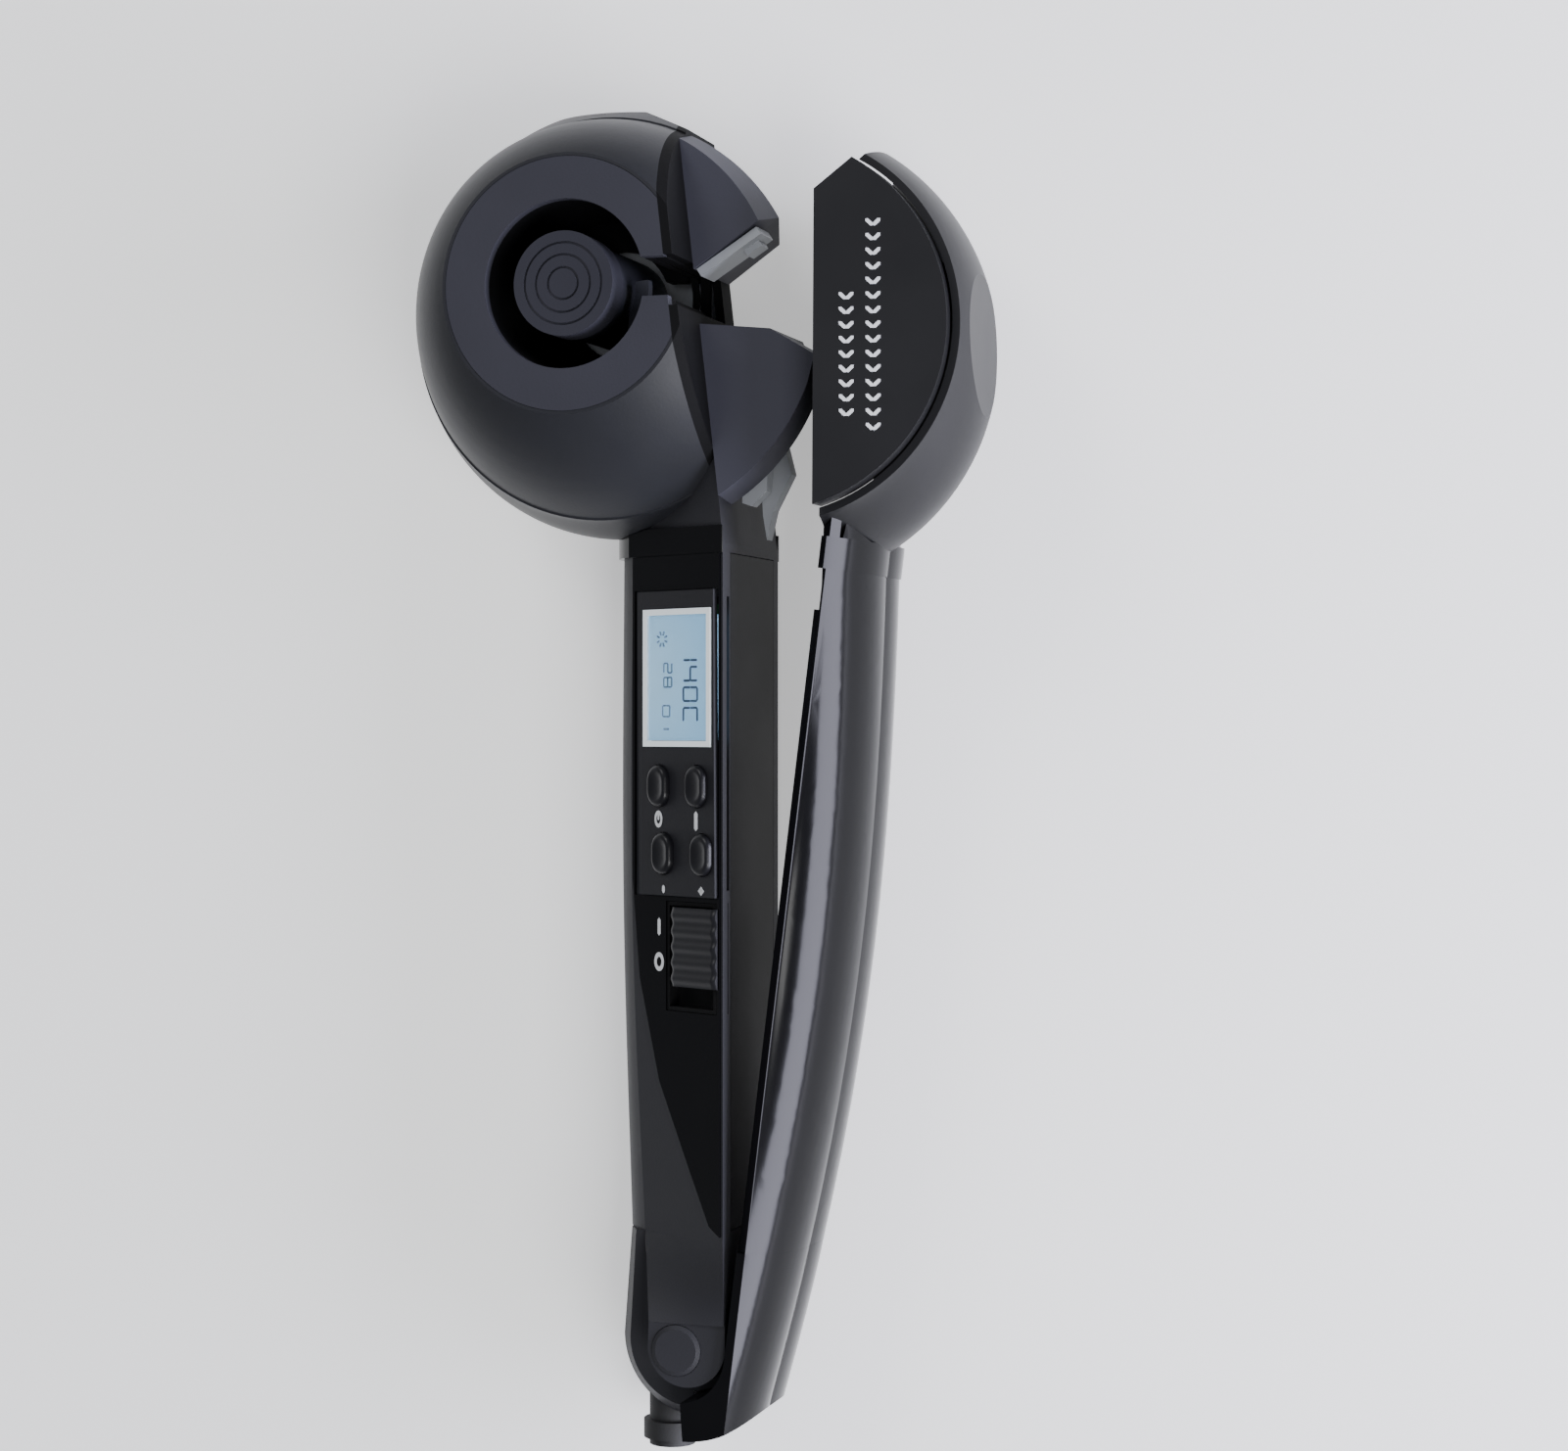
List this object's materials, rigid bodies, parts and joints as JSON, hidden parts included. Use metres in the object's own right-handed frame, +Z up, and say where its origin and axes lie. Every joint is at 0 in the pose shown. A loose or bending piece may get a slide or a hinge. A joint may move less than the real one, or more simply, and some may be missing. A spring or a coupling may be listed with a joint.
{
  "type": "automatic hair curler",
  "caption": "Automatic hair curler: two hinged arms with a split round head, heated barrel in a curl chamber with a driven rotor, display, keys and power slide.",
  "frame": {"origin": "middle of the footprint, on the plane that the curler lies on", "axes": "+Y along the arms towards the heads, +Z up towards the front face with the chamber and the controls, +X towards the lid arm"},
  "size_m": [0.1295, 0.3001, 0.0584],
  "materials": {
    "shell_charcoal": "satin",
    "gloss_black": "gloss",
    "black_plastic": "matte",
    "pale_plastic": "matte",
    "ceramic": "satin",
    "steel": "satin",
    "aluminium": "satin",
    "white_frame": "gloss",
    "display": "clear",
    "display_body": "matte",
    "board": "satin",
    "acetal": "satin",
    "rubber": "matte"
  },
  "bodies": {
    "main": {"head_front_shell": "shell_charcoal", "head_back_shell": "shell_charcoal", "head_screws": "steel", "mouth_plate": "gloss_black", "chamber_liner": "black_plastic", "front_ring": "shell_charcoal", "throat_channel": "black_plastic", "upper_guide": "shell_charcoal", "lower_guide": "shell_charcoal", "throat_strip": "pale_plastic", "guide_fin_inner": "pale_plastic", "guide_fin_outer": "pale_plastic", "heated_barrel": "ceramic", "barrel_cap": "black_plastic", "heater": "aluminium", "thermal_fuse": "steel", "chassis_plate": "aluminium", "rotor_guide": "acetal", "idler_axles": "steel", "motor": "steel", "motor_screws": "steel", "arm_shell": "shell_charcoal", "arm_inner_face": "gloss_black", "arm_screws": "steel", "neck_collar": "gloss_black", "gloss_inlay": "gloss_black", "control_panel": "black_plastic", "display_bezel": "white_frame", "display_window": "display", "display_module": "display_body", "control_board": "board", "key_switches": "black_plastic", "switch_tub": "black_plastic", "tail_housing": "shell_charcoal", "hinge_pin": "steel", "hinge_cap": "black_plastic", "hinge_washers": "acetal", "hinge_spring": "steel"},
    "rotor": {"rotor_gear": "acetal", "rotor_hook": "pale_plastic"},
    "idler_left": {"idler_left": "acetal"},
    "idler_right": {"idler_right": "acetal"},
    "pinion": {"motor_pinion": "steel", "motor_shaft": "steel"},
    "key_timer": {"key_timer": "black_plastic"},
    "key_mode": {"key_mode": "black_plastic"},
    "key_minus": {"key_minus": "black_plastic"},
    "key_plus": {"key_plus": "black_plastic"},
    "power_knob": {"power_knob": "black_plastic"},
    "cord_gland": {"cord_gland": "rubber"},
    "lid": {"lid_head_shell": "gloss_black", "lid_front_panel": "black_plastic", "lid_pusher": "black_plastic", "lid_arm_shell": "gloss_black", "lid_inner_face": "black_plastic", "lid_screws": "steel", "lid_tail": "gloss_black", "lid_eye": "black_plastic", "lid_collar": "gloss_black"}
  },
  "joints": [
    {"name": "lid_hinge", "type": "hinge", "parent": "main", "child": "lid", "pos_m": [-0.0004, -0.125, 0.0245], "axis": [0, 0, 1], "range_deg": [0, 7], "stiffness_Nm_per_rad": 0.25, "springref_deg": -45.84, "deforming": ["hinge_spring"]},
    {"name": "rotor_spin", "type": "hinge", "parent": "main", "child": "rotor", "pos_m": [-0.0209, 0.108, 0.021], "axis": [0, 0, 1], "continuous": true},
    {"name": "idler_left_spin", "type": "hinge", "parent": "main", "child": "idler_left", "pos_m": [-0.03061, 0.08121, 0.021], "axis": [0, 0, 1], "continuous": true},
    {"name": "idler_right_spin", "type": "hinge", "parent": "main", "child": "idler_right", "pos_m": [-0.01119, 0.08121, 0.021], "axis": [0, 0, 1], "continuous": true},
    {"name": "pinion_spin", "type": "hinge", "parent": "main", "child": "pinion", "pos_m": [-0.0209, 0.07736, 0.021], "axis": [0, 0, 1], "continuous": true},
    {"name": "key_timer_press", "type": "slide", "parent": "main", "child": "key_timer", "axis": [0.5, 0, -0.866], "range_m": [0, 0.0006], "stiffness_N_per_m": 600, "springref_m": -0.0003},
    {"name": "key_mode_press", "type": "slide", "parent": "main", "child": "key_mode", "axis": [0.5, 0, -0.866], "range_m": [0, 0.0006], "stiffness_N_per_m": 600, "springref_m": -0.0003},
    {"name": "key_minus_press", "type": "slide", "parent": "main", "child": "key_minus", "axis": [0.5, 0, -0.866], "range_m": [0, 0.0006], "stiffness_N_per_m": 600, "springref_m": -0.0003},
    {"name": "key_plus_press", "type": "slide", "parent": "main", "child": "key_plus", "axis": [0.5, 0, -0.866], "range_m": [0, 0.0006], "stiffness_N_per_m": 600, "springref_m": -0.0003},
    {"name": "power_slide", "type": "slide", "parent": "main", "child": "power_knob", "axis": [0, 1, 0], "range_m": [-0.004, 0]},
    {"name": "gland_swivel", "type": "hinge", "parent": "main", "child": "cord_gland", "pos_m": [-0.0094, -0.14, 0.019], "axis": [0, 1, 0], "continuous": true}
  ],
  "couplings": [
    {"joint": "idler_left_spin", "follows": "rotor_spin", "ratio": -4},
    {"joint": "idler_right_spin", "follows": "rotor_spin", "ratio": -4},
    {"joint": "pinion_spin", "follows": "rotor_spin", "ratio": 4.8}
  ]
}
